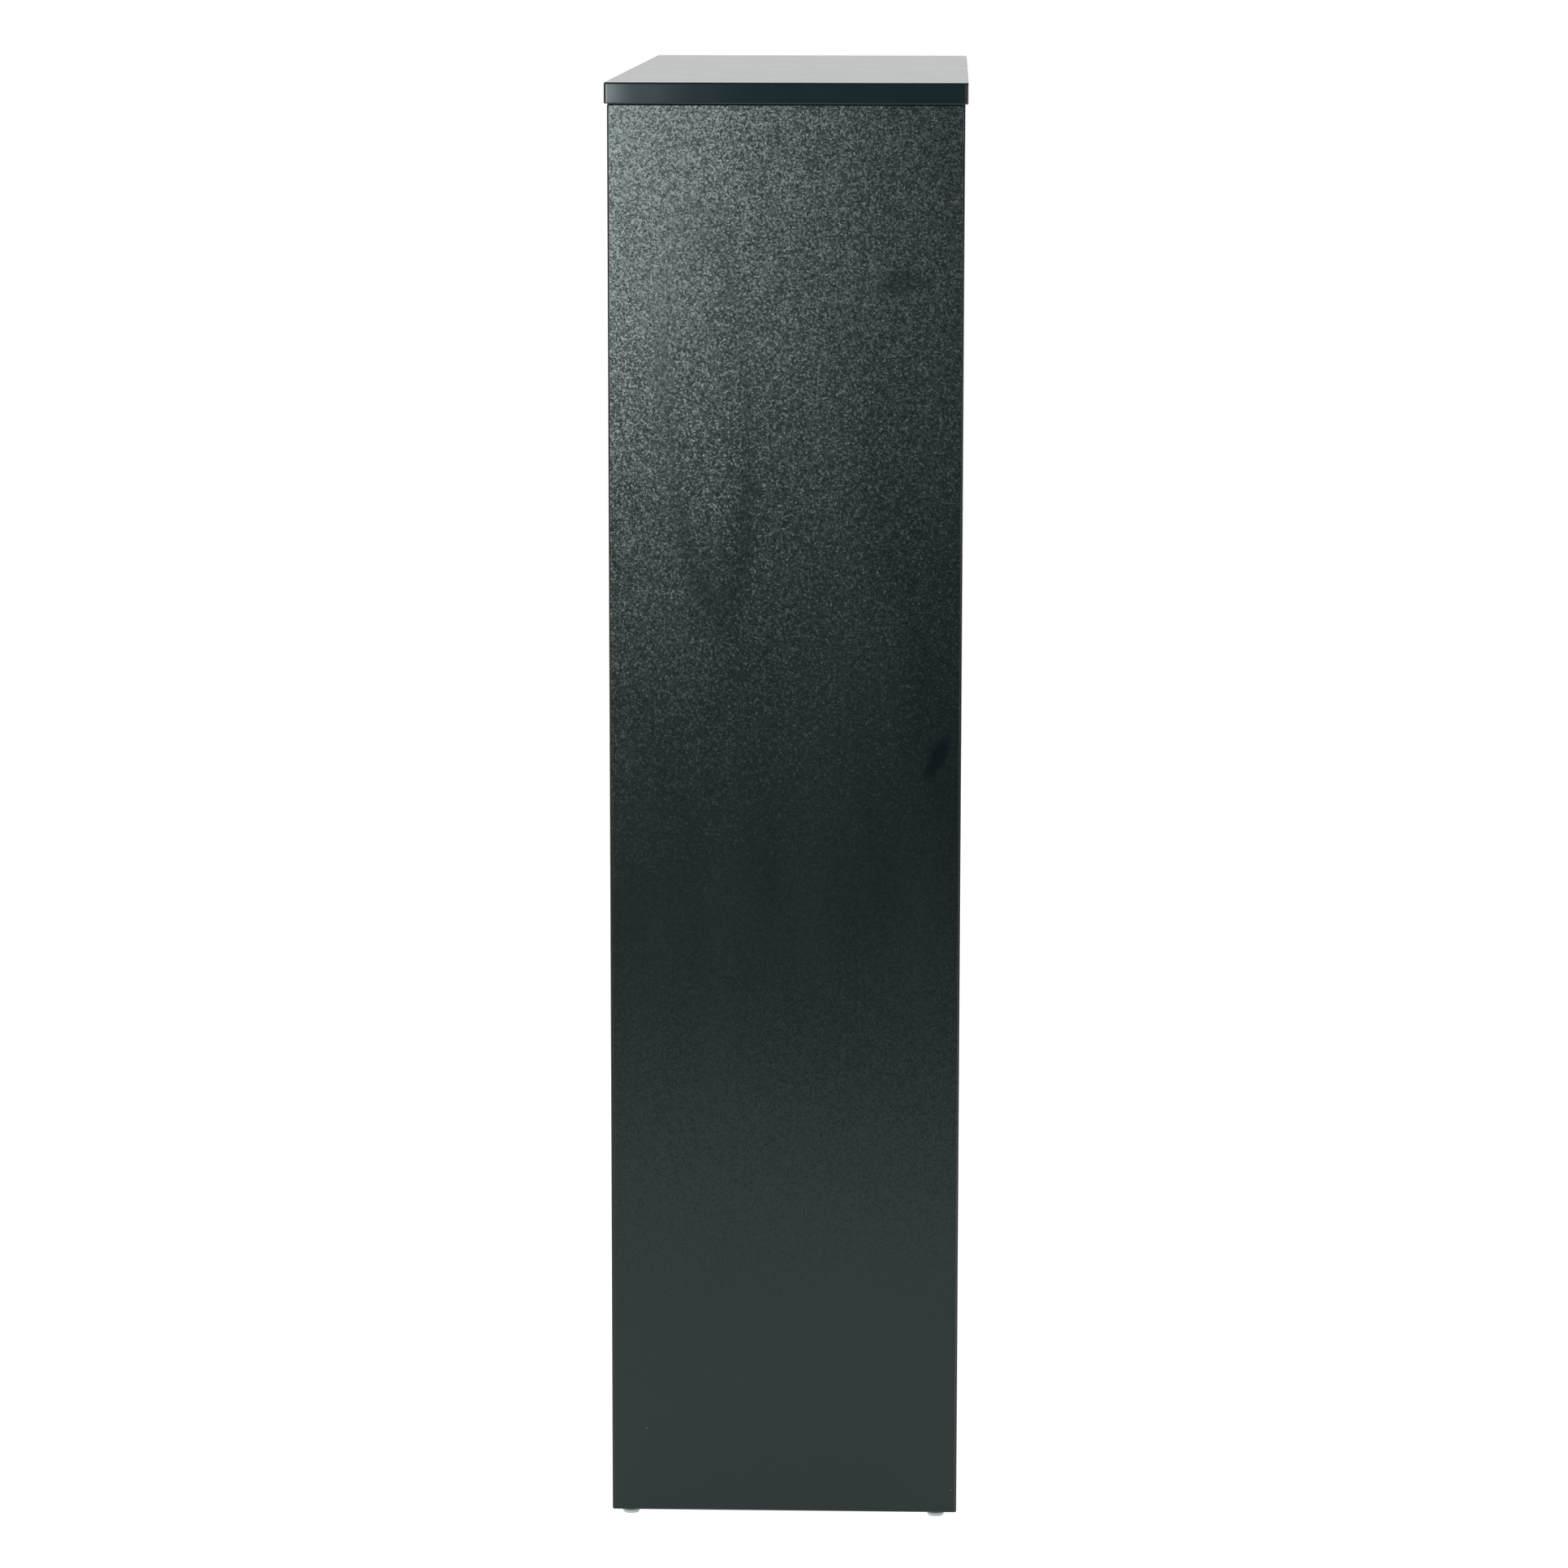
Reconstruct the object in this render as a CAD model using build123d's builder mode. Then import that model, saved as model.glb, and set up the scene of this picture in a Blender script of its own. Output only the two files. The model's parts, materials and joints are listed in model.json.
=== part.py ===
from build123d import *
import os

# Tall chest of drawers: a carcass of boards that holds five handleless drawers on roller runners.
# The origin is on the floor under the middle of the chest, +Z is up, X runs along the width and
# the drawers open towards -Y. All sizes are in millimetres.

# Overall size and boards
width = 800.0
depth = 300.0
height = 1220.0
board = 18.0
edge_radius = 1.0
fit_gap = 0.05  # clearance round a fastener in its hole

# Top panel
overhang = 2.5
top_edge_radius = 2.0
top_corner_radius = 2.2

# Side panels
side_edge_radius = 1.6
glide_height = 4.0
side_depth = depth - 2 * overhang
side_front = -side_depth / 2
side_back = side_depth / 2
side_bottom = glide_height
side_top = height - board
side_outer = width / 2 - overhang
side_inner = side_outer - board
side_middle = side_outer - board / 2

# Back panels in their grooves, and the strip that joins them
back_thickness = 3.0
groove_width = 3.4
groove_depth = 6.0
groove_inset = 8.0
groove_middle = side_back - groove_inset - groove_width / 2
back_front_face = groove_middle - back_thickness / 2
back_half_width = side_inner + groove_depth - 0.5
back_bottom = 40.0
back_joint_z = 640.0
strip_web = 1.2
strip_flange = 0.9
strip_height = 22.0
strip_gap = 0.1

# Bottom panel and plinth
plinth_clearance = 8.0
plinth_height = 50.0
plinth_recess = 20.0
bottom_underside = plinth_clearance + plinth_height
bottom_topside = bottom_underside + board
bottom_back = back_front_face - 0.3
rear_plinth_middle = 121.0

# Rails under the top panel
front_rail_depth = 70.0
rear_rail_height = 60.0
rail_underside = side_top - board

# Wall fixing holes through the rear rail and the back panel
wall_hole_radius = 2.5
wall_hole_half_spacing = 300.0
wall_hole_z = side_top - 28.0

# Cam joints
cam_radius = 7.4
cam_length = 12.9
cam_pocket_radius = 7.5
cam_pocket_depth = 13.2
cam_reach = 24.0  # from the joint to the middle of the cam
cam_throat_radius = 3.5
cam_slot_length = 9.0
cam_slot_width = 1.6
cam_slot_depth = 2.5
bolt_channel_radius = 3.7
bolt_thread_radius = 2.5
bolt_thread_length = 11.0
bolt_shank_radius = 3.0
bolt_shank_length = 16.0
bolt_neck_radius = 1.8
bolt_neck_length = 5.5
bolt_head_radius = 3.2
bolt_head_length = 4.0

# Wooden dowels
dowel_radius = 4.0
dowel_length = 30.0
dowel_chamfer = 0.8
face_dowel_depth = 12.0  # part of a dowel that is in the face of a board
edge_dowel_depth = dowel_length - face_dowel_depth

# Floor glides and their nails
glide_radius = 8.0
glide_foot_radius = 6.6
glide_skirt = 1.6
glide_front_inset = 17.8
glide_back_inset = 15.8
nail_radius = 1.0
nail_length = 14.0
nail_head_radius = 3.0
nail_head_thickness = 0.8
nail_recess_radius = 3.4
nail_recess_depth = 1.8

# Drawers
drawer_count = 5
finger_gap = 18.0
lowest_front_gap = 3.0
front_side_gap = 2.5
finger_bevel = 12.0
box_board = 12.0
box_side_gap = 12.5
box_lift = 12.0  # box above the lower edge of its front
box_height = 150.0
box_back_end = 115.5
box_back_inset = 6.0
dado_depth = 6.0
back_dado_depth = 4.0
glue_gap = 0.1
base_thickness = 3.0
base_lift = 12.0
base_groove = 3.2
base_groove_depth = 6.0

front_back_face = side_front + board
front_half_width = side_inner - front_side_gap
drawer_pitch = (rail_underside - bottom_topside - lowest_front_gap) / drawer_count
front_height = drawer_pitch - finger_gap
box_outer = side_inner - box_side_gap
box_inner = box_outer - box_board
box_back_outer_face = box_back_end - box_back_inset

# Roller runners
runner_sheet = 1.2
runner_bend = 1.0
runner_height = 26.0  # clear height of the cabinet channel
channel_web = side_inner - runner_sheet / 2
channel_lip = 369.2
channel_front = -128.5
channel_back = 111.5
channel_open_front = 40.0  # stretch of upper flange left off so that a drawer can be lifted out
carrier_web = box_outer + runner_sheet / 2
carrier_shelf = 353.0
carrier_flange = 377.6
carrier_flange_height = 21.0
carrier_front = -129.0
carrier_back = 111.0
roller_radius = 9.0
roller_gap = 0.3
roller_bore = 2.6
roller_width = 6.3
roller_edge = 0.6
roller_core_radius = 0.9
roller_core_circle = 5.6
roller_cores = 6
drawer_roller_x = 372.3
cabinet_roller_x = 374.7
drawer_roller_y = carrier_back - 10.0
cabinet_roller_y = channel_front + 13.0
drawer_roller_lift = roller_gap + roller_radius
cabinet_roller_lift = carrier_flange_height - roller_gap - roller_radius
pin_radius = 2.5
pin_head_radius = 4.0
pin_head_length = 0.6
screw_radius = 2.5
screw_length = 11.0
screw_head_radius = 3.5
screw_head_length = 1.0
channel_screw_y = (-92.0, 84.0)
carrier_screw_y = (-104.0, 70.0)
carrier_screw_length = 9.0
channel_screw_lift = 11.0
carrier_screw_lift = 6.5

os.makedirs("parts", exist_ok=True)


def block(low, high, mode=Mode.ADD):
    """A rectangular block between two opposite corners."""
    size = [b - a for a, b in zip(low, high)]
    middle = [(a + b) / 2 for a, b in zip(low, high)]
    with Locations(tuple(middle)):
        Box(*size, mode=mode)


def looking(points, outward):
    """Planes at the given points that look out of a face, to drill into it or to stand on it."""
    return [Plane(origin=point, z_dir=outward) for point in points]


def drill(points, outward, radius, hole_depth):
    """Blind holes from the given points on a face, square to it."""
    with Locations(*looking(points, outward)):
        Hole(radius, hole_depth)


# Where the joints are. Joints into the sides are (y, z), joints up into the top panel are y.
top_cam_y = (-55.0, 55.0)
top_dowel_y = (-20.0, 20.0)
bottom_middle_z = bottom_underside + board / 2
bottom_cam_y = (-100.0, 90.0)
bottom_dowel_y = (-5.0,)
front_rail_z = side_top - board / 2
front_rail_cam_y = -100.0
front_rail_dowel_y = -128.0
rear_rail_y = back_front_face - board / 2
rear_rail_cam_z = side_top - 42.0
rear_rail_dowel_z = side_top - 16.0
front_plinth_y = side_front + plinth_recess + board / 2
plinth_dowel_z = (22.0, 44.0)

side_bolts = [(y, bottom_middle_z) for y in bottom_cam_y]
side_bolts += [(front_rail_cam_y, front_rail_z), (rear_rail_y, rear_rail_cam_z)]
side_dowels = [(y, bottom_middle_z) for y in bottom_dowel_y]
side_dowels += [(front_rail_dowel_y, front_rail_z), (rear_rail_y, rear_rail_dowel_z)]
side_dowels += [(y, z) for y in (front_plinth_y, rear_plinth_middle) for z in plinth_dowel_z]

# The lower edge of each drawer front, from the top drawer to the bottom one
front_bottoms = [
    bottom_topside + lowest_front_gap + level * drawer_pitch for level in reversed(range(drawer_count))
]
box_bottoms = [bottom + box_lift for bottom in front_bottoms]


# Top panel, with blind holes below for the cam bolts and dowels of both sides
with BuildPart() as top_panel:
    block((-width / 2, -depth / 2, side_top), (width / 2, depth / 2, height))
    fillet(top_panel.edges().filter_by(Axis.Z), top_corner_radius)
    fillet(top_panel.edges().group_by(Axis.Z)[-1], top_edge_radius)
    fillet(top_panel.edges().group_by(Axis.Z)[0], edge_radius)
    top_bolt_points = [(x, y, side_top) for x in (-side_middle, side_middle) for y in top_cam_y]
    drill(top_bolt_points, (0, 0, -1), bolt_thread_radius + fit_gap, bolt_thread_length)
    top_dowel_points = [(x, y, side_top) for x in (-side_middle, side_middle) for y in top_dowel_y]
    drill(top_dowel_points, (0, 0, -1), dowel_radius + fit_gap, face_dowel_depth + fit_gap)

top_panel.part.label = "top_panel"
export_step(top_panel.part, "parts/top_panel.step")


# Side panels: grooved for the back, drilled for every joint, runner screw and glide nail
for hand, side_name in ((-1, "left_side_panel"), (1, "right_side_panel")):
    inner_x = hand * side_inner
    outer_x = hand * side_outer
    inward = (-hand, 0, 0)
    with BuildPart() as side_panel:
        block(
            (min(inner_x, outer_x), side_front, side_bottom),
            (max(inner_x, outer_x), side_back, side_top),
        )
        fillet(side_panel.edges(), side_edge_radius)
        block(
            (inner_x - groove_depth, groove_middle - groove_width / 2, side_bottom - 1),
            (inner_x + groove_depth, groove_middle + groove_width / 2, side_top + 1),
            mode=Mode.SUBTRACT,
        )
        drill(
            [(inner_x, y, side_top - cam_reach) for y in top_cam_y],
            inward,
            cam_pocket_radius,
            cam_pocket_depth,
        )
        drill(
            [(hand * side_middle, y, side_top) for y in top_cam_y],
            (0, 0, 1),
            bolt_channel_radius,
            cam_reach,
        )
        drill(
            [(hand * side_middle, y, side_top) for y in top_dowel_y],
            (0, 0, 1),
            dowel_radius + fit_gap,
            edge_dowel_depth + fit_gap,
        )
        drill(
            [(inner_x, y, z) for y, z in side_bolts],
            inward,
            bolt_thread_radius + fit_gap,
            bolt_thread_length,
        )
        drill(
            [(inner_x, y, z) for y, z in side_dowels],
            inward,
            dowel_radius + fit_gap,
            face_dowel_depth + fit_gap,
        )
        drill(
            [(inner_x, y, z + channel_screw_lift) for y in channel_screw_y for z in box_bottoms],
            inward,
            screw_radius + fit_gap,
            screw_length,
        )
        drill(
            [
                (hand * side_middle, side_front + glide_front_inset, side_bottom),
                (hand * side_middle, side_back - glide_back_inset, side_bottom),
            ],
            (0, 0, -1),
            nail_radius + fit_gap,
            nail_length,
        )
    side_panel.part.label = side_name
    export_step(side_panel.part, f"parts/{side_name}.step")


def drill_board_ends(cam_spots, dowel_spots):
    """Bolt channels and dowel holes in both ends of a board that stands between the sides."""
    for hand in (-1, 1):
        end_x = hand * side_inner
        if cam_spots:
            drill([(end_x, y, z) for y, z in cam_spots], (hand, 0, 0), bolt_channel_radius, cam_reach)
        drill(
            [(end_x, y, z) for y, z in dowel_spots],
            (hand, 0, 0),
            dowel_radius + fit_gap,
            edge_dowel_depth + fit_gap,
        )


# Bottom panel, with the cam pockets in its underside
with BuildPart() as bottom_panel:
    block((-side_inner, side_front, bottom_underside), (side_inner, bottom_back, bottom_topside))
    fillet(bottom_panel.edges().filter_by(Axis.X).group_by(Axis.Y)[0], edge_radius)
    drill_board_ends(
        [(y, bottom_middle_z) for y in bottom_cam_y],
        [(y, bottom_middle_z) for y in bottom_dowel_y],
    )
    bottom_cam_x = side_inner - cam_reach
    drill(
        [(x, y, bottom_underside) for x in (-bottom_cam_x, bottom_cam_x) for y in bottom_cam_y],
        (0, 0, -1),
        cam_pocket_radius,
        cam_pocket_depth,
    )

bottom_panel.part.label = "bottom_panel"
export_step(bottom_panel.part, "parts/bottom_panel.step")


# Plinth rails that stand below the bottom panel
for plinth_name, plinth_y in (
    ("front_plinth_rail", front_plinth_y),
    ("rear_plinth_rail", rear_plinth_middle),
):
    with BuildPart() as plinth_rail:
        block(
            (-side_inner, plinth_y - board / 2, plinth_clearance),
            (side_inner, plinth_y + board / 2, bottom_underside),
        )
        fillet(plinth_rail.edges().filter_by(Axis.X).group_by(Axis.Z)[0], edge_radius)
        drill_board_ends([], [(plinth_y, z) for z in plinth_dowel_z])
    plinth_rail.part.label = plinth_name
    export_step(plinth_rail.part, f"parts/{plinth_name}.step")


# Front top rail, which lies flat under the top panel
with BuildPart() as front_top_rail:
    block(
        (-side_inner, side_front, rail_underside),
        (side_inner, side_front + front_rail_depth, side_top),
    )
    fillet(front_top_rail.edges().filter_by(Axis.X).group_by(Axis.Y)[0], edge_radius)
    drill_board_ends([(front_rail_cam_y, front_rail_z)], [(front_rail_dowel_y, front_rail_z)])
    drill(
        [(x, front_rail_cam_y, rail_underside) for x in (-bottom_cam_x, bottom_cam_x)],
        (0, 0, -1),
        cam_pocket_radius,
        cam_pocket_depth,
    )

front_top_rail.part.label = "front_top_rail"
export_step(front_top_rail.part, "parts/front_top_rail.step")


# Rear top rail, which stands against the back and takes the wall fixing screws
wall_hole_x = (-wall_hole_half_spacing, wall_hole_half_spacing)
with BuildPart() as rear_top_rail:
    block(
        (-side_inner, back_front_face - board, side_top - rear_rail_height),
        (side_inner, back_front_face, side_top),
    )
    drill_board_ends([(rear_rail_y, rear_rail_cam_z)], [(rear_rail_y, rear_rail_dowel_z)])
    drill(
        [(x, back_front_face - board, rear_rail_cam_z) for x in (-bottom_cam_x, bottom_cam_x)],
        (0, -1, 0),
        cam_pocket_radius,
        cam_pocket_depth,
    )
    drill(
        [(x, back_front_face, wall_hole_z) for x in wall_hole_x],
        (0, 1, 0),
        wall_hole_radius,
        board + 1,
    )

rear_top_rail.part.label = "rear_top_rail"
export_step(rear_top_rail.part, "parts/rear_top_rail.step")


# Back panels, in the grooves of the sides, with their meeting edges in the joining strip
back_back_face = back_front_face + back_thickness
with BuildPart() as lower_back_panel:
    block(
        (-back_half_width, back_front_face, back_bottom),
        (back_half_width, back_back_face, back_joint_z - strip_web / 2 - strip_gap),
    )

lower_back_panel.part.label = "lower_back_panel"
export_step(lower_back_panel.part, "parts/lower_back_panel.step")

with BuildPart() as upper_back_panel:
    block(
        (-back_half_width, back_front_face, back_joint_z + strip_web / 2 + strip_gap),
        (back_half_width, back_back_face, side_top - 0.5),
    )
    drill(
        [(x, back_back_face, wall_hole_z) for x in wall_hole_x],
        (0, 1, 0),
        wall_hole_radius,
        back_thickness + 1,
    )

upper_back_panel.part.label = "upper_back_panel"
export_step(upper_back_panel.part, "parts/upper_back_panel.step")

with BuildPart() as back_joining_strip:
    strip_half_width = side_inner - 0.5
    strip_half_depth = back_thickness / 2 + strip_gap + strip_flange
    block(
        (-strip_half_width, groove_middle - strip_half_depth, back_joint_z - strip_height / 2),
        (strip_half_width, groove_middle + strip_half_depth, back_joint_z + strip_height / 2),
    )
    fillet(back_joining_strip.edges().filter_by(Axis.X), strip_flange / 2)
    slot_half_depth = back_thickness / 2 + strip_gap
    for low_z, high_z in (
        (back_joint_z - strip_height, back_joint_z - strip_web / 2),
        (back_joint_z + strip_web / 2, back_joint_z + strip_height),
    ):
        block(
            (-width, groove_middle - slot_half_depth, low_z),
            (width, groove_middle + slot_half_depth, high_z),
            mode=Mode.SUBTRACT,
        )

back_joining_strip.part.label = "back_joining_strip"
export_step(back_joining_strip.part, "parts/back_joining_strip.step")


# Every cam joint is a plane at the meeting face, looking towards the cam, and the direction in
# which the cam is pushed into its board
cam_joints = []
for hand in (-1, 1):
    for y in top_cam_y:
        cam_joints.append(((hand * side_middle, y, side_top), (0, 0, -1), (hand, 0, 0)))
    for y in bottom_cam_y:
        cam_joints.append(((hand * side_inner, y, bottom_middle_z), (-hand, 0, 0), (0, 0, 1)))
    cam_joints.append(((hand * side_inner, front_rail_cam_y, front_rail_z), (-hand, 0, 0), (0, 0, 1)))
    cam_joints.append(((hand * side_inner, rear_rail_y, rear_rail_cam_z), (-hand, 0, 0), (0, 1, 0)))
cam_planes = [Plane(origin=spot, x_dir=push, z_dir=towards) for spot, towards, push in cam_joints]

# Cam lock: a slotted drum with a throat for the head of the bolt. The drum's axis is local X.
with BuildPart() as cam_lock:
    drum_face = -board / 2
    with BuildSketch(Plane.YZ.offset(drum_face)):
        with Locations((0, cam_reach)):
            Circle(cam_radius)
    extrude(amount=cam_length)
    with BuildSketch(Plane.YZ.offset(drum_face)):
        with Locations((0, cam_reach)):
            Rectangle(cam_slot_length, cam_slot_width)
            Rectangle(cam_slot_width, cam_slot_length)
    extrude(amount=cam_slot_depth, mode=Mode.SUBTRACT)
    with BuildSketch(Plane.XY):
        Circle(cam_throat_radius)
    extrude(amount=cam_reach + bolt_head_radius, mode=Mode.SUBTRACT)

with BuildPart() as cam_locks:
    with Locations(*cam_planes):
        add(cam_lock.part)

cam_locks.part.label = "cam_locks"
export_step(cam_locks.part, "parts/cam_locks.step")

# Cam bolt: screwed into the face of one board, with its head inside the cam
with BuildPart() as cam_bolt:
    with BuildSketch(Plane.XZ):
        with BuildLine():
            neck_start = bolt_shank_length
            head_start = neck_start + bolt_neck_length
            Polyline(
                (0, -bolt_thread_length + fit_gap),
                (bolt_thread_radius, -bolt_thread_length + fit_gap),
                (bolt_thread_radius, 0),
                (bolt_shank_radius, 0),
                (bolt_shank_radius, neck_start),
                (bolt_neck_radius, neck_start),
                (bolt_neck_radius, head_start),
                (bolt_head_radius, head_start),
                (bolt_head_radius, head_start + bolt_head_length),
                (0, head_start + bolt_head_length),
                close=True,
            )
        make_face()
    revolve(axis=Axis.Z)

with BuildPart() as cam_bolts:
    with Locations(*cam_planes):
        add(cam_bolt.part)

cam_bolts.part.label = "cam_bolts"
export_step(cam_bolts.part, "parts/cam_bolts.step")


# Wooden dowels: planes at the meeting face, looking into the edge of the jointed board
dowel_planes = []
for hand in (-1, 1):
    dowel_planes += looking([(hand * side_middle, y, side_top) for y in top_dowel_y], (0, 0, -1))
    dowel_planes += looking([(hand * side_inner, y, z) for y, z in side_dowels], (-hand, 0, 0))

with BuildPart() as dowel:
    with BuildSketch(Plane.XY.offset(-face_dowel_depth)):
        Circle(dowel_radius)
    extrude(amount=dowel_length)
    chamfer(dowel.edges().filter_by(GeomType.CIRCLE), dowel_chamfer)

with BuildPart() as wooden_dowels:
    with Locations(*dowel_planes):
        add(dowel.part)

wooden_dowels.part.label = "wooden_dowels"
export_step(wooden_dowels.part, "parts/wooden_dowels.step")


# Floor glides: shallow plastic buttons under the ends of both sides
glide_points = [
    (hand * side_middle, y)
    for hand in (-1, 1)
    for y in (side_front + glide_front_inset, side_back - glide_back_inset)
]

with BuildPart() as glide:
    with BuildSketch(Plane.XZ):
        with BuildLine():
            Polyline(
                (nail_radius + fit_gap, glide_height),
                (glide_radius, glide_height),
                (glide_radius, glide_height - glide_skirt),
            )
            RadiusArc(
                (glide_radius, glide_height - glide_skirt),
                (glide_foot_radius, 0),
                -(glide_height - glide_skirt + 1.2),
            )
            Polyline(
                (glide_foot_radius, 0),
                (nail_recess_radius, 0),
                (nail_recess_radius, nail_recess_depth),
                (nail_radius + fit_gap, nail_recess_depth),
                (nail_radius + fit_gap, glide_height),
            )
        make_face()
    revolve(axis=Axis.Z)

with BuildPart() as floor_glides:
    with Locations(*glide_points):
        add(glide.part)

floor_glides.part.label = "floor_glides"
export_step(floor_glides.part, "parts/floor_glides.step")

# Nails through the glides into the bottom edges of the sides
with BuildPart() as nail:
    with BuildSketch(Plane.XY.offset(nail_recess_depth - nail_head_thickness)):
        Circle(nail_head_radius)
    extrude(amount=nail_head_thickness)
    with BuildSketch(Plane.XY.offset(nail_recess_depth)):
        Circle(nail_radius)
    extrude(amount=nail_length)

with BuildPart() as glide_nails:
    with Locations(*glide_points):
        add(nail.part)

glide_nails.part.label = "glide_nails"
export_step(glide_nails.part, "parts/glide_nails.step")


# One nylon roller, on the X axis: a bored wheel with rounded edges and a ring of moulding cores
with BuildPart() as roller:
    with BuildSketch(Plane.YZ.offset(-roller_width / 2)):
        Circle(roller_radius)
    extrude(amount=roller_width)
    fillet(roller.edges().filter_by(GeomType.CIRCLE), roller_edge)
    with BuildSketch(Plane.YZ.offset(-roller_width / 2)):
        Circle(roller_bore)
        with PolarLocations(roller_core_circle, roller_cores):
            Circle(roller_core_radius)
    extrude(amount=roller_width, mode=Mode.SUBTRACT)


def build_pin(shaft_length):
    """A riveted roller pin that stands out of a plane along Z and through the sheet behind it."""
    with BuildPart() as pin:
        with BuildSketch(Plane.XY.offset(-runner_sheet)):
            Circle(pin_radius)
        extrude(amount=runner_sheet + shaft_length)
        with BuildSketch(Plane.XY.offset(shaft_length)):
            Circle(pin_head_radius)
        extrude(amount=pin_head_length)
    return pin.part


def build_screw(shank_length):
    """A pan head screw along Z, with its head just clear of the plane and its shank below it."""
    with BuildPart() as screw:
        with BuildSketch(Plane.XY.offset(fit_gap)):
            Circle(screw_head_radius)
        extrude(amount=screw_head_length)
        chamfer(screw.edges().group_by(Axis.Z)[-1], screw_head_length / 2)
        with BuildSketch(Plane.XY.offset(-shank_length)):
            Circle(screw_radius)
        extrude(amount=shank_length + fit_gap)
    return screw.part


channel_pin = build_pin(roller_width + 0.7)
carrier_pin = build_pin(roller_width + 1.4)
channel_screw = build_screw(screw_length + runner_sheet - fit_gap)
carrier_screw = build_screw(carrier_screw_length + runner_sheet - fit_gap)


def cabinet_channel(hand, box_bottom):
    """The C-shaped runner profile on a side panel. Its upper flange leaves the front end open."""
    lower_z = box_bottom - runner_sheet / 2
    upper_z = box_bottom + runner_height + runner_sheet / 2
    with BuildPart() as channel:
        with BuildSketch(Plane.XZ.offset(-channel_back)):
            with BuildLine():
                FilletPolyline(
                    (hand * channel_lip, lower_z),
                    (hand * channel_web, lower_z),
                    (hand * channel_web, upper_z),
                    (hand * channel_lip, upper_z),
                    radius=runner_bend,
                )
            trace(line_width=runner_sheet)
        extrude(amount=channel_back - channel_front)
        lip_x = sorted((hand * (channel_lip - 1), hand * (channel_web - runner_sheet)))
        block(
            (lip_x[0], channel_front - 1, upper_z - runner_sheet),
            (lip_x[1], channel_front + channel_open_front, upper_z + runner_sheet),
            mode=Mode.SUBTRACT,
        )
        web_face = hand * (channel_web - runner_sheet / 2)
        drill(
            [(web_face, y, box_bottom + channel_screw_lift) for y in channel_screw_y],
            (-hand, 0, 0),
            screw_radius + fit_gap,
            2 * runner_sheet,
        )
        drill(
            [(web_face, cabinet_roller_y, box_bottom + cabinet_roller_lift)],
            (-hand, 0, 0),
            pin_radius + fit_gap,
            2 * runner_sheet,
        )
    return channel.part


# Cabinet runners: five channels on each side panel, each with the pin of its front roller
for hand, runner_name in ((-1, "left_cabinet_runners"), (1, "right_cabinet_runners")):
    web_face = hand * (channel_web - runner_sheet / 2)
    pin_points = [(web_face, cabinet_roller_y, z + cabinet_roller_lift) for z in box_bottoms]
    with BuildPart() as cabinet_runners:
        for box_bottom in box_bottoms:
            add(cabinet_channel(hand, box_bottom))
        with Locations(*looking(pin_points, (-hand, 0, 0))):
            add(channel_pin)
    cabinet_runners.part.label = runner_name
    export_step(cabinet_runners.part, f"parts/{runner_name}.step")

# Euro screws that hold the channels to the side panels
with BuildPart() as runner_screws:
    for hand in (-1, 1):
        web_face = hand * (channel_web - runner_sheet / 2)
        screw_points = [(web_face, y, z + channel_screw_lift) for y in channel_screw_y for z in box_bottoms]
        with Locations(*looking(screw_points, (-hand, 0, 0))):
            add(channel_screw)

runner_screws.part.label = "runner_screws"
export_step(runner_screws.part, "parts/runner_screws.step")


def carrier_profile(hand, box_bottom):
    """The Z-shaped runner profile under a drawer side, with the flange that rides on the roller."""
    shelf_z = box_bottom - runner_sheet / 2
    flange_z = box_bottom + carrier_flange_height + runner_sheet / 2
    with BuildPart() as carrier:
        with BuildSketch(Plane.XZ.offset(-carrier_back)):
            with BuildLine():
                FilletPolyline(
                    (hand * carrier_shelf, shelf_z),
                    (hand * carrier_web, shelf_z),
                    (hand * carrier_web, flange_z),
                    (hand * carrier_flange, flange_z),
                    radius=runner_bend,
                )
            trace(line_width=runner_sheet)
        extrude(amount=carrier_back - carrier_front)
        web_face = hand * (carrier_web + runner_sheet / 2)
        drill(
            [(web_face, y, box_bottom + carrier_screw_lift) for y in carrier_screw_y],
            (hand, 0, 0),
            screw_radius + fit_gap,
            2 * runner_sheet,
        )
        drill(
            [(web_face, drawer_roller_y, box_bottom + drawer_roller_lift)],
            (hand, 0, 0),
            pin_radius + fit_gap,
            2 * runner_sheet,
        )
    return carrier.part


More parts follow.
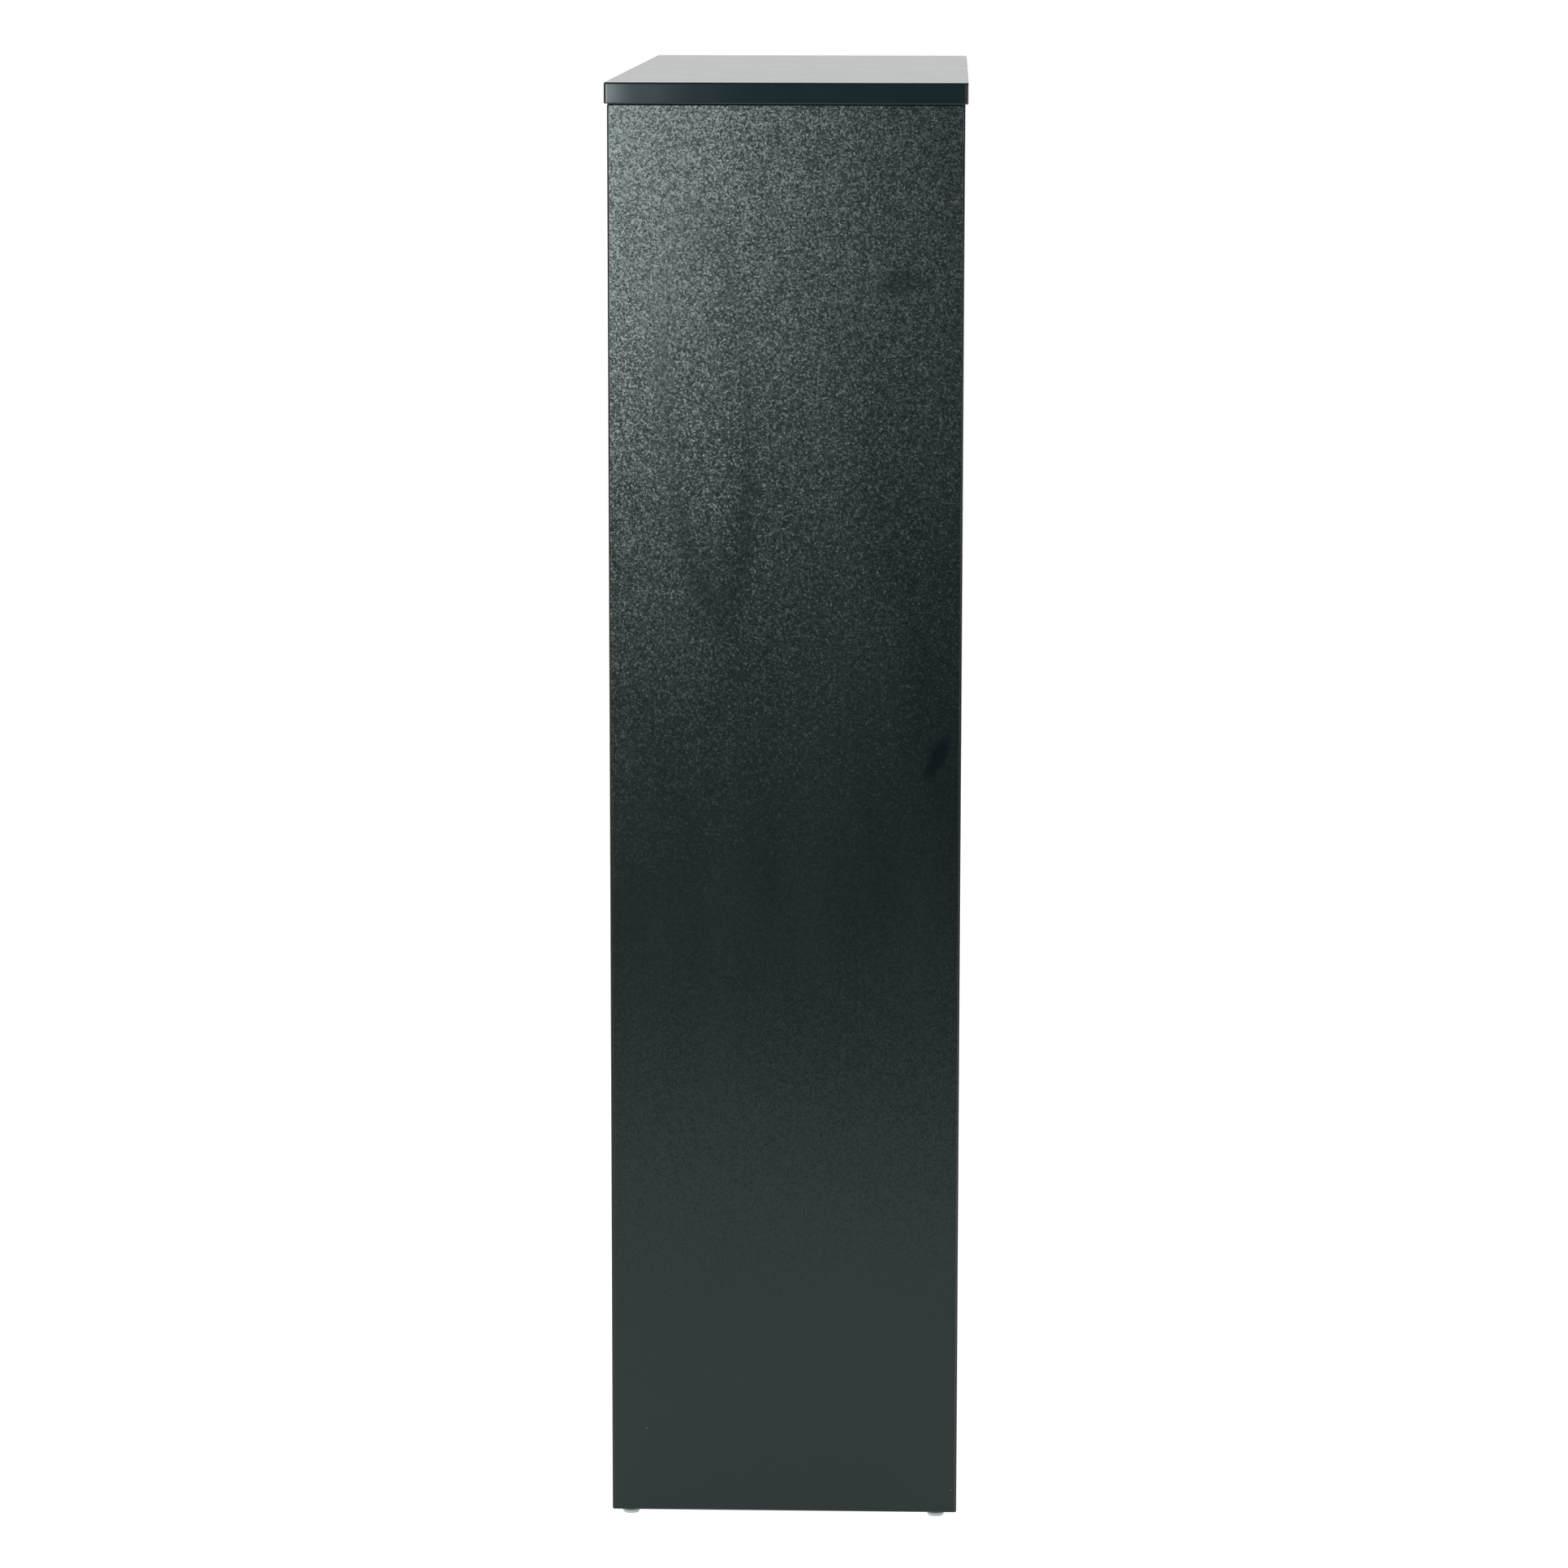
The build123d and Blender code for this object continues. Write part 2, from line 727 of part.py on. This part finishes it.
# The drawers, numbered from the top
for number, (front_bottom, box_bottom) in enumerate(zip(front_bottoms, box_bottoms), start=1):
    drawer = f"drawer_{number}"
    box_top = box_bottom + box_height
    base_bottom = box_bottom + base_lift
    base_top = base_bottom + base_thickness
    groove_low = base_bottom - (base_groove - base_thickness) / 2
    groove_high = groove_low + base_groove

    # Front: bevelled at the back of its upper edge for the fingers, dadoed for the drawer sides
    with BuildPart() as front:
        block(
            (-front_half_width, side_front, front_bottom),
            (front_half_width, front_back_face, front_bottom + front_height),
        )
        upper_back_edge = front.edges().filter_by(Axis.X).group_by(Axis.Y)[-1].sort_by(Axis.Z)[-1]
        chamfer(upper_back_edge, finger_bevel)
        fillet(front.faces().sort_by(Axis.Y)[0].edges(), edge_radius)
        for hand in (-1, 1):
            dado_x = sorted((hand * (box_inner - glue_gap), hand * (box_outer + glue_gap)))
            block(
                (dado_x[0], front_back_face - dado_depth, box_bottom - glue_gap),
                (dado_x[1], front_back_face + 1, box_top + glue_gap),
                mode=Mode.SUBTRACT,
            )
        block(
            (-box_inner, front_back_face - base_groove_depth, groove_low),
            (box_inner, front_back_face + 1, groove_high),
            mode=Mode.SUBTRACT,
        )
    front.part.label = f"{drawer}_front"
    export_step(front.part, f"parts/{drawer}_front.step")

    # Sides: in the dadoes of the front, grooved for the base and dadoed for the back
    for hand, side_name in ((-1, "left_side"), (1, "right_side")):
        side_x = sorted((hand * box_inner, hand * box_outer))
        groove_x = sorted((hand * (box_inner - 1), hand * (box_inner + base_groove_depth)))
        back_dado_x = sorted((hand * (box_inner - 1), hand * (box_inner + back_dado_depth)))
        with BuildPart() as box_side:
            block(
                (side_x[0], front_back_face - dado_depth + glue_gap, box_bottom),
                (side_x[1], box_back_end, box_top),
            )
            fillet(box_side.edges().filter_by(Axis.Y), edge_radius)
            block(
                (groove_x[0], front_back_face - board, groove_low),
                (groove_x[1], box_back_end + 1, groove_high),
                mode=Mode.SUBTRACT,
            )
            block(
                (back_dado_x[0], box_back_outer_face - box_board - glue_gap, groove_low),
                (back_dado_x[1], box_back_outer_face + glue_gap, box_top + 1),
                mode=Mode.SUBTRACT,
            )
            drill(
                [(hand * box_outer, y, box_bottom + carrier_screw_lift) for y in carrier_screw_y],
                (hand, 0, 0),
                screw_radius + fit_gap,
                carrier_screw_length,
            )
        box_side.part.label = f"{drawer}_{side_name}"
        export_step(box_side.part, f"parts/{drawer}_{side_name}.step")

    # Back: stands on the base, between the sides
    back_half = box_inner + back_dado_depth - glue_gap
    with BuildPart() as box_back:
        block(
            (-back_half, box_back_outer_face - box_board, base_top + glue_gap),
            (back_half, box_back_outer_face, box_top - edge_radius),
        )
        fillet(box_back.edges().filter_by(Axis.X).group_by(Axis.Z)[-1], edge_radius)
    box_back.part.label = f"{drawer}_back"
    export_step(box_back.part, f"parts/{drawer}_back.step")

    # Base: a hardboard sheet in the grooves of the front and the sides
    base_half = box_inner + base_groove_depth - 0.5
    with BuildPart() as base:
        block(
            (-box_inner, front_back_face - base_groove_depth + 0.5, base_bottom),
            (box_inner, box_back_outer_face, base_top),
        )
        block(
            (-base_half, front_back_face + 0.5, base_bottom),
            (base_half, box_back_outer_face, base_top),
        )
    base.part.label = f"{drawer}_base"
    export_step(base.part, f"parts/{drawer}_base.step")

    # Runners: a pair of profiles with the rear roller pins and the screws into the drawer sides
    with BuildPart() as drawer_runners:
        for hand in (-1, 1):
            web_face = hand * (carrier_web + runner_sheet / 2)
            add(carrier_profile(hand, box_bottom))
            pin_point = (web_face, drawer_roller_y, box_bottom + drawer_roller_lift)
            with Locations(*looking([pin_point], (hand, 0, 0))):
                add(carrier_pin)
            screw_z = box_bottom + carrier_screw_lift
            screw_points = [(web_face, y, screw_z) for y in carrier_screw_y]
            with Locations(*looking(screw_points, (hand, 0, 0))):
                add(carrier_screw)
    drawer_runners.part.label = f"{drawer}_runners"
    export_step(drawer_runners.part, f"parts/{drawer}_runners.step")

    # Rear rollers, which turn on the drawer's pins
    rear_lift = box_bottom + drawer_roller_lift
    with BuildPart() as rear_rollers:
        with Locations(*[(x, drawer_roller_y, rear_lift) for x in (-drawer_roller_x, drawer_roller_x)]):
            add(roller.part)
    rear_rollers.part.label = f"{drawer}_rear_rollers"
    export_step(rear_rollers.part, f"parts/{drawer}_rear_rollers.step")

    # Front rollers, which turn on the cabinet's pins below the drawer's flanges
    front_lift = box_bottom + cabinet_roller_lift
    with BuildPart() as front_rollers:
        with Locations(*[(x, cabinet_roller_y, front_lift) for x in (-cabinet_roller_x, cabinet_roller_x)]):
            add(roller.part)
    front_rollers.part.label = f"{drawer}_front_rollers"
    export_step(front_rollers.part, f"parts/{drawer}_front_rollers.step")
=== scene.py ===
import json
import math

import bpy
from mathutils import Matrix, Vector

# The looks of a tall chest of drawers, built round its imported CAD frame. Everything is in metres,
# in the frame of the CAD: +Z up, the drawers open towards -Y, and the camera looks along +X.

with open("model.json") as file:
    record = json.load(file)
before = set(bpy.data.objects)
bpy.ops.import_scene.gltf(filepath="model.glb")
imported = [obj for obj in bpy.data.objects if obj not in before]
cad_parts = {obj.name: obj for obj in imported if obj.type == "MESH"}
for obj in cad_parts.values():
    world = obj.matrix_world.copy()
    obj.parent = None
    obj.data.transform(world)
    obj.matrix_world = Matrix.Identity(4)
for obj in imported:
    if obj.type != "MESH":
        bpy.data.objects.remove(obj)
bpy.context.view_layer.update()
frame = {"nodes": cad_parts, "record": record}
nodes = frame["nodes"]
X_AXIS, Y_AXIS, Z_AXIS = 0, 1, 2
WHITE = (1.0, 1.0, 1.0, 1.0)

# Camera: it looks at the left side of the chest from just above the top panel
CAMERA_PLACE = (-4.815, -0.1382, 1.3624)
CAMERA_YAW = -1.8045
CAMERA_PITCH = 9.3331
CAMERA_ROLL = 0.0711
CAMERA_LENS = 122.62
SENSOR = 36.0
FAR_CLIP = 100.0

# Softboxes: name, place, target, size, power, and whether glossy boards mirror them. Only
# softbox_left lights the left side. A mirrored softbox_back would hide the right side in glare.
SOFTBOXES = (
    ("softbox_above", (1.6, 0.0, 3.8), (0.1, 0.0, 1.0), (2.4, 3.0), 150.0, True),
    ("softbox_front", (1.5, -4.6, 0.7), (0.3, -0.15, 0.6), (3.4, 0.9), 80.0, True),
    ("softbox_back", (1.5, 4.6, 0.7), (0.3, 0.15, 0.6), (3.4, 0.9), 70.0, False),
    ("softbox_left", (-3.385, 0.745, 1.26), (-0.4, 0.1, 1.1), (0.735, 1.12), 61.0, True),
    ("backdrop_glow", (4.0, 0.0, 2.2), (0.0, 0.0, 1.2), (5.0, 3.6), 38.0, True),
)
ROOM_SEEN = 1.0
ROOM_LIGHT = 0.01

# Floor: its corners, and the stretch over which its light fades out at the camera's end
FLOOR_LOW = (-2.5, -12.0)
FLOOR_HIGH = (30.0, 12.0)
FLOOR_FADE = 0.9

# Boards: how the foil tints a reflection, the size and lean of the pearl structure, and where the
# edge banding, painted paler partly as a highlight, and the glue line show along Y
FOIL_TINT = (0.86, 1.0, 1.0, 1.0)
PEARL_IOR = 1.44
PEARL_CELLS = 820.0
PEARL_LEAN = 0.085
SIDE_GLUE_LINE = (0.1432, 0.1458)
SIDE_EDGING_AND_HIGHLIGHT = (-0.1453, -0.1459)
TOP_EDGING_AND_HIGHLIGHT = (0.1466, 0.1472)

# Marks on the outside of the left side: y, z, half width, half height, tilt and depth of each
LEFT_FACE = -0.3975
FINGER_MARKS = (
    (-0.128, 0.66, 0.007, 0.021, 0.45, 1.0),
    (-0.094, 1.056, 0.024, 0.012, -0.3, 0.6),
    (0.106, 1.02, 0.009, 0.08, -0.05, 0.4),
)
CLOTH_TRACE = (0.066, 0.95, 0.034, 0.16, -0.06, 0.55)
MARK_GLOSS = -0.06
MARK_FLATTENING = 0.7

# Small chips in the same side: y, z and radius of each
CHIPS = ((0.118, 0.0763, 0.0005), (-0.1428, 0.024, 0.0004))

# Glides: where the painted contact shadow under the side panel starts and where it is full
GLIDE_CONTACT_SHADE = (0.0022, 0.0036)


# ---------------------------------------------------------------- node helpers


class Shader:
    """A new node material with a Principled shader, and short calls to build its node tree."""

    def __init__(self, name):
        self.material = bpy.data.materials.new(name)
        self.material.use_nodes = True
        self.tree = self.material.node_tree
        self.tree.nodes.clear()
        output = self.tree.nodes.new("ShaderNodeOutputMaterial")
        self.surface = self.tree.nodes.new("ShaderNodeBsdfPrincipled")
        self.tree.links.new(self.surface.outputs[0], output.inputs["Surface"])
        coordinates = self.tree.nodes.new("ShaderNodeTexCoord").outputs
        self.place = coordinates["Object"]
        self.facing = coordinates["Normal"]

    def node(self, kind, inputs=None, **settings):
        made = self.tree.nodes.new(kind)
        for key, value in settings.items():
            setattr(made, key, value)
        for key, value in (inputs or {}).items():
            self.put(made.inputs[key], value)
        return made

    def put(self, socket, value):
        if isinstance(value, bpy.types.NodeSocket):
            self.tree.links.new(value, socket)
        else:
            socket.default_value = value

    def set(self, **values):
        """Sets Principled sockets: base_color=..., roughness=..., normal=..."""
        for key, value in values.items():
            self.put(self.surface.inputs[key.replace("_", " ").title().replace("Ior", "IOR")], value)

    def stretched(self, scale):
        return self.node("ShaderNodeMapping", {"Vector": self.place, "Scale": scale}).outputs[0]

    def noise(self, scale, detail=2.0, roughness=0.5, distortion=0.0, vector=None):
        inputs = {
            "Vector": vector or self.place,
            "Scale": scale,
            "Detail": detail,
            "Roughness": roughness,
            "Distortion": distortion,
        }
        return self.node("ShaderNodeTexNoise", inputs).outputs["Fac"]

    def spread(self, value, low, high, to_low=0.0, to_high=1.0):
        """Maps a value from one range to another, clamped."""
        inputs = {"Value": value, "From Min": low, "From Max": high, "To Min": to_low, "To Max": to_high}
        return self.node("ShaderNodeMapRange", inputs).outputs[0]

    def ramp(self, value, *stops):
        """Colours along a value: (position, (r, g, b)) pairs."""
        made = self.node("ShaderNodeValToRGB", {"Fac": value})
        for element, (position, colour) in zip(made.color_ramp.elements, stops):
            element.position = position
            element.color = (*colour, 1.0)
        return made.outputs["Color"]

    def mottled(self, value, first, second):
        """Two (r, g, b) colours that follow a noise."""
        return self.ramp(value, (0.3, first), (0.7, second))

    def math(self, operation, first, second=0.5):
        made = self.node("ShaderNodeMath", {0: first, 1: second}, operation=operation)
        return made.outputs[0]

    def add(self, first, second):
        return self.math("ADD", first, second)

    def times(self, first, second):
        return self.math("MULTIPLY", first, second)

    def vector(self, operation, first, second=(0.0, 0.0, 0.0)):
        made = self.node("ShaderNodeVectorMath", {0: first, 1: second}, operation=operation)
        return made.outputs

    def mix(self, factor, first, second):
        made = self.node("ShaderNodeMix", data_type="RGBA")
        self.put(made.inputs["Factor"], factor)
        self.put(made.inputs["A"], first)
        self.put(made.inputs["B"], second)
        return made.outputs["Result"]

    def bump(self, height, distance, normal=None):
        inputs = {"Height": height, "Distance": distance}
        if normal:
            inputs["Normal"] = normal
        return self.node("ShaderNodeBump", inputs).outputs[0]

    def flakes(self, scale, lean):
        """A normal that leans a little another way on each small cell, as on a pearl structure."""
        cells = self.node("ShaderNodeTexVoronoi", {"Vector": self.place, "Scale": scale}).outputs["Color"]
        way = self.vector("SUBTRACT", cells, (0.5, 0.5, 0.5))[0]
        tilt = self.node("ShaderNodeVectorMath", {0: way, "Scale": lean}, operation="SCALE").outputs[0]
        upright = self.node("ShaderNodeNewGeometry").outputs["Normal"]
        return self.vector("NORMALIZE", self.vector("ADD", upright, tilt)[0])[0]

    def along(self, axis):
        """The place along X, Y or Z."""
        return self.node("ShaderNodeSeparateXYZ", {0: self.place}).outputs[axis]

    def facings(self):
        """How squarely the surface faces along X, Y and Z, from 0 to 1."""
        size = self.vector("ABSOLUTE", self.facing)[0]
        return self.node("ShaderNodeSeparateXYZ", {0: size}).outputs

    def edges(self):
        """1 on the rounded edges of a board and 0 on its flat faces."""
        x, y, z = self.facings()
        squarest = self.math("MAXIMUM", self.math("MAXIMUM", x, y), z)
        return self.spread(squarest, 0.99, 0.93)

    def distance(self, middle, radii, tilt=0.0):
        """1 on an ellipsoid round a point, and less inside it. The tilt turns it about X."""
        inputs = {"Vector": self.place, "Location": middle, "Rotation": (tilt, 0, 0), "Scale": radii}
        inside = self.node("ShaderNodeMapping", inputs, vector_type="TEXTURE").outputs[0]
        return self.vector("LENGTH", inside)["Value"]

    def reach(self, y, z, half_width, half_height, tilt=0.0):
        """The same on the outside of the left side."""
        return self.distance((LEFT_FACE, y, z), (1.0, half_width, half_height), tilt)


# ---------------------------------------------------------------- materials


def handling_marks(s):
    """Greasy finger marks and the curved trace of a cloth on the outside of the left side."""
    wobble = s.add(s.times(s.noise(60.0, detail=3.0), 0.9), -0.45)
    marks = 0.0
    for *shape, depth in FINGER_MARKS:
        blot = s.add(s.reach(*shape), wobble)
        marks = s.add(marks, s.spread(blot, 1.15, 0.45, 0.0, depth))
    *shape, depth = CLOTH_TRACE
    ring = s.add(s.reach(*shape), s.add(s.times(wobble, 0.3), -1.0))
    return s.add(marks, s.spread(s.math("ABSOLUTE", ring), 0.3, 0.0, 0.0, depth))


def pearl_board(name, broad, side_panel=False, handled=False):
    """Charcoal melamine with a fine pearl structure on its broad faces, smooth edge banding, and a
    painted highlight along its rounded edges.

    A side panel shows the paler edge banding along its front, painted paler partly as a highlight on the
    rounded front edge, and a brownish glue line along its back.
    """
    s = Shader(name)
    blotches = s.noise(9.0, detail=3.0)
    smears = s.noise(5.0, detail=3.0, vector=s.stretched((1.0, 3.0, 0.7)))
    broad_face = s.spread(s.facings()[broad], 0.97, 0.995)
    lean = s.times(broad_face, PEARL_LEAN)
    colour = s.mottled(blotches, (0.002, 0.006, 0.0075), (0.0028, 0.0075, 0.009))
    # Painted highlight: the rounded edges are painted lighter than the faces.
    colour = s.mix(s.edges(), colour, (0.006, 0.012, 0.014, 1.0))
    roughness = s.spread(smears, 0.3, 0.7, 0.225, 0.255)
    if side_panel:
        glue_line = s.spread(s.along(Y_AXIS), *SIDE_GLUE_LINE, 0.0, 0.8)
        # Paler edge banding along the front: partly a band colour, partly a painted highlight on the
        # rounded front edge.
        edging_and_highlight = s.times(broad_face, s.spread(s.along(Y_AXIS), *SIDE_EDGING_AND_HIGHLIGHT))
        colour = s.mix(glue_line, colour, (0.016, 0.012, 0.009, 1.0))
        colour = s.mix(edging_and_highlight, colour, (0.05, 0.05, 0.045, 1.0))
    if handled:
        marks = handling_marks(s)
        lean = s.times(lean, s.spread(marks, 0.0, 1.0, 1.0, 1.0 - MARK_FLATTENING))
        roughness = s.add(roughness, s.times(marks, MARK_GLOSS))
        for y, z, radius in CHIPS:
            chip = s.spread(s.reach(y, z, radius, radius), 1.1, 0.8)
            colour = s.mix(chip, colour, (0.2, 0.19, 0.17, 1.0))
    normal = s.bump(s.noise(380.0), 0.00001, normal=s.flakes(PEARL_CELLS, lean))
    s.set(base_color=colour, roughness=roughness, normal=normal)
    s.set(ior=PEARL_IOR, specular_tint=FOIL_TINT)
    return s.material


def satin_board(name, roughest, smoothest, relief, banded=False):
    """Charcoal foil without the pearl structure, a little lighter along its edges from wear and a painted
    highlight.

    A banded board shows the ends of its front and back edge banding on its end faces, painted paler
    partly as a highlight.
    """
    s = Shader(name)
    blotches = s.noise(7.0, detail=4.0)
    ripple = s.noise(260.0, detail=2.0)
    waves = s.noise(14.0, detail=1.0)
    clouds = s.noise(22.0, detail=5.0)
    # Lighter on the rounded edges where the noise allows: partly wear, partly a painted highlight.
    worn_and_highlit = s.times(s.edges(), s.spread(s.noise(45.0, detail=4.0), 0.4, 0.7, 0.2, 1.0))
    colour = s.mottled(blotches, (0.0095, 0.021, 0.0255), (0.0115, 0.0245, 0.0295))
    colour = s.mix(worn_and_highlit, colour, (0.022, 0.034, 0.038, 1.0))
    if banded:
        end_face = s.spread(s.facings()[X_AXIS], 0.9, 0.97)
        # The ends of the edge banding are paler: a band colour, and partly a painted highlight on the
        # rounded front edge.
        bands_and_highlight = s.times(end_face, s.spread(s.math("ABSOLUTE", s.along(Y_AXIS)), *TOP_EDGING_AND_HIGHLIGHT))
        colour = s.mix(bands_and_highlight, colour, (0.05, 0.047, 0.04, 1.0))
    roughness = s.spread(clouds, 0.3, 0.7, smoothest, roughest)
    normal = s.bump(waves, 0.0002, normal=s.bump(ripple, relief))
    s.set(base_color=colour, roughness=roughness, normal=normal, specular_tint=FOIL_TINT)
    return s.material


def hardboard(name, dark, light, roughness):
    """Thin painted hardboard with short pressed fibres."""
    s = Shader(name)
    fibres = s.noise(340.0, detail=4.0, roughness=0.7, vector=s.stretched((0.25, 1.0, 1.0)))
    blotches = s.noise(6.0, detail=4.0)
    shade = s.add(s.times(fibres, 0.5), s.times(blotches, 0.5))
    colour = s.ramp(shade, (0.35, dark), (0.65, light))
    s.set(base_color=colour, roughness=roughness, normal=s.bump(fibres, 0.0003))
    return s.material


def box_melamine():
    """Grey melamine of the drawer boxes, with a fine linen structure."""
    s = Shader("box_melamine")
    warp = s.noise(420.0, detail=1.0, vector=s.stretched((1.0, 0.3, 2.0)))
    weft = s.noise(420.0, detail=1.0, vector=s.stretched((1.0, 2.0, 0.3)))
    tone = s.mottled(s.noise(11.0, detail=3.0), (0.12, 0.13, 0.135), (0.145, 0.155, 0.16))
    # Painted highlight: the rounded edges are painted lighter.
    colour = s.mix(s.times(s.edges(), 0.6), tone, (0.2, 0.205, 0.205, 1.0))
    s.set(base_color=colour, roughness=0.42, normal=s.bump(s.add(warp, weft), 0.0002))
    return s.material


def moulded(name, roughness):
    """Injection-moulded plastic with a faint grain. It returns the shader and its flow marks."""
    s = Shader(name)
    flow = s.noise(60.0, detail=3.0, distortion=1.0)
    s.set(roughness=s.spread(flow, 0.3, 0.7, roughness, roughness + 0.1))
    s.set(normal=s.bump(s.noise(900.0), 0.00008))
    return s, flow


def plain_plastic(name, colour):
    s, flow = moulded(name, 0.4)
    s.set(base_color=s.mottled(flow, tuple(0.86 * c for c in colour), colour))
    return s.material


def glide_plastic():
    """Milky polyethylene that lets some light in, with a painted contact shadow where it meets the side
    panel.
    """
    s, _ = moulded("glide_plastic", 0.3)
    # Painted contact shadow: the glide is darker towards its top, under the side panel.
    contact_shade = s.spread(s.along(Z_AXIS), *GLIDE_CONTACT_SHADE)
    s.set(base_color=s.mix(contact_shade, (0.37, 0.44, 0.44, 1.0), (0.07, 0.08, 0.08, 1.0)))
    s.set(subsurface_weight=0.2, subsurface_scale=0.002)
    return s.material


def plated_metal(name, colour, roughness):
    """Bright plated metal with small scratches and a slightly clouded surface."""
    s = Shader(name)
    cloud = s.noise(180.0, detail=3.0)
    scratches = s.noise(500.0, detail=2.0, vector=s.stretched((1.0, 6.0, 0.4)))
    dark = tuple(0.7 * c for c in colour)
    s.set(
        base_color=s.ramp(cloud, (0.35, dark), (0.6, colour)),
        metallic=1.0,
        roughness=s.spread(scratches, 0.3, 0.7, roughness, roughness + 0.1),
        normal=s.bump(scratches, 0.00005),
    )
    return s.material


def runner_paint():
    """White epoxy coat on rolled steel, worn along the edges."""
    s = Shader("runner_paint")
    coat = s.noise(220.0, detail=2.0)
    colour = s.mottled(s.noise(20.0, detail=3.0), (0.55, 0.55, 0.53), (0.62, 0.62, 0.6))
    worn = s.times(s.edges(), s.spread(s.noise(90.0, detail=3.0), 0.45, 0.7))
    colour = s.mix(s.times(worn, 0.5), colour, (0.3, 0.3, 0.3, 1.0))
    s.set(base_color=colour, roughness=0.33, normal=s.bump(coat, 0.00012))
    return s.material


def beech():
    """Bare beech with short pores along its grain."""
    s = Shader("beech")
    pores = s.noise(600.0, detail=4.0, vector=s.stretched((1.0, 1.0, 0.2)))
    colour = s.ramp(pores, (0.35, (0.36, 0.22, 0.12)), (0.6, (0.55, 0.38, 0.22)))
    s.set(base_color=colour, roughness=0.6, normal=s.bump(pores, 0.0002))
    return s.material


# The charcoal boards that aren't drawer fronts or plinth rails, by node
BOARDS = {
    "left_side_panel": pearl_board("pearl_board_handled", X_AXIS, side_panel=True, handled=True),
    "right_side_panel": pearl_board("pearl_board_side", X_AXIS, side_panel=True),
    "bottom_panel": pearl_board("pearl_board_shelf", Z_AXIS),
    "front_top_rail": pearl_board("pearl_board_rail", Z_AXIS),
    "rear_top_rail": pearl_board("pearl_board_upright", Y_AXIS),
    "top_panel": satin_board("satin_top", 0.1, 0.075, 0.000003, banded=True),
}
satin_front = satin_board("satin_front", 0.3, 0.265, 0.00002)

# Everything else, by material slot
MATERIALS = {
    "back_hardboard": hardboard("back_hardboard", (0.016, 0.019, 0.021), (0.026, 0.03, 0.032), 0.55),
    "base_hardboard": hardboard("base_hardboard", (0.13, 0.14, 0.145), (0.17, 0.18, 0.185), 0.45),
    "box_melamine": box_melamine(),
    "strip_plastic": plain_plastic("strip_plastic", (0.02, 0.022, 0.024)),
    "glide_plastic": glide_plastic(),
    "roller_nylon": plain_plastic("roller_nylon", (0.72, 0.72, 0.7)),
    "zinc_alloy": plated_metal("zinc_alloy", (0.55, 0.55, 0.54), 0.4),
    "zinc_steel": plated_metal("zinc_steel", (0.62, 0.62, 0.6), 0.25),
    "runner_steel": runner_paint(),
    "beech": beech(),
}

for entry in frame["record"]["subparts"]:
    name, slot = entry["node"], entry["material_slot"]
    slots = nodes[name].data.materials
    slots.clear()
    slots.append(MATERIALS.get(slot) or BOARDS.get(name, satin_front))


# ---------------------------------------------------------------- camera, light and floor


def add_camera():
    camera = bpy.data.objects.new("camera", bpy.data.cameras.new("camera"))
    camera.data.sensor_width = SENSOR
    camera.data.lens = CAMERA_LENS
    camera.data.clip_end = FAR_CLIP
    heading = Matrix.Rotation(math.radians(-90.0 - CAMERA_YAW), 4, "Z")
    tilt = Matrix.Rotation(math.radians(90.0 - CAMERA_PITCH), 4, "X")
    roll = Matrix.Rotation(math.radians(CAMERA_ROLL), 4, "Z")
    camera.matrix_world = Matrix.Translation(CAMERA_PLACE) @ heading @ tilt @ roll
    bpy.context.scene.collection.objects.link(camera)
    bpy.context.scene.camera = camera


def add_softbox(name, place, target, size, power, mirrored):
    """A rectangular light that faces its target, and that glossy boards mirror or not."""
    light = bpy.data.lights.new(name, "AREA")
    light.shape = "RECTANGLE"
    light.size, light.size_y = size
    light.energy = power
    lamp = bpy.data.objects.new(name, light)
    aim = (Vector(target) - Vector(place)).to_track_quat("-Z", "Y")
    lamp.matrix_world = Matrix.Translation(place) @ aim.to_matrix().to_4x4()
    lamp.visible_camera = False
    lamp.visible_glossy = mirrored
    bpy.context.scene.collection.objects.link(lamp)


def add_world(seen, lit):
    """A white room that is seen as white and lights the chest more softly."""
    world = bpy.data.worlds.new("studio")
    bpy.context.scene.world = world
    world.use_nodes = True
    tree = world.node_tree
    tree.nodes.clear()
    output = tree.nodes.new("ShaderNodeOutputWorld")
    mixer = tree.nodes.new("ShaderNodeMixShader")
    path = tree.nodes.new("ShaderNodeLightPath")
    for index, strength in ((1, lit), (2, seen)):
        background = tree.nodes.new("ShaderNodeBackground")
        background.inputs["Color"].default_value = WHITE
        background.inputs["Strength"].default_value = strength
        tree.links.new(background.outputs[0], mixer.inputs[index])
    tree.links.new(path.outputs["Is Camera Ray"], mixer.inputs[0])
    tree.links.new(mixer.outputs[0], output.inputs["Surface"])


def add_floor(low, high, fade):
    """A plain floor, seen as white, whose light fades out over a distance at its low X end."""
    mesh = bpy.data.meshes.new("floor")
    corners = [(low[0], low[1]), (high[0], low[1]), (high[0], high[1]), (low[0], high[1])]
    mesh.from_pydata([(x, y, 0.0) for x, y in corners], [], [(0, 1, 2, 3)])
    floor = bpy.data.objects.new("floor", mesh)
    bpy.context.scene.collection.objects.link(floor)
    s = Shader("floor_white")
    s.set(base_color=(0.25, 0.25, 0.25, 1.0), roughness=0.9, specular_ior_level=0.0)
    s.set(emission_color=WHITE)
    seen = s.node("ShaderNodeLightPath").outputs["Is Camera Ray"]
    fading = s.spread(s.along(X_AXIS), low[0], low[0] + fade)
    s.set(emission_strength=s.math("MAXIMUM", fading, seen))
    mesh.materials.append(s.material)


add_camera()
add_world(ROOM_SEEN, ROOM_LIGHT)
for softbox in SOFTBOXES:
    add_softbox(*softbox)
add_floor(FLOOR_LOW, FLOOR_HIGH, FLOOR_FADE)
bpy.context.scene.view_settings.view_transform = "Standard"
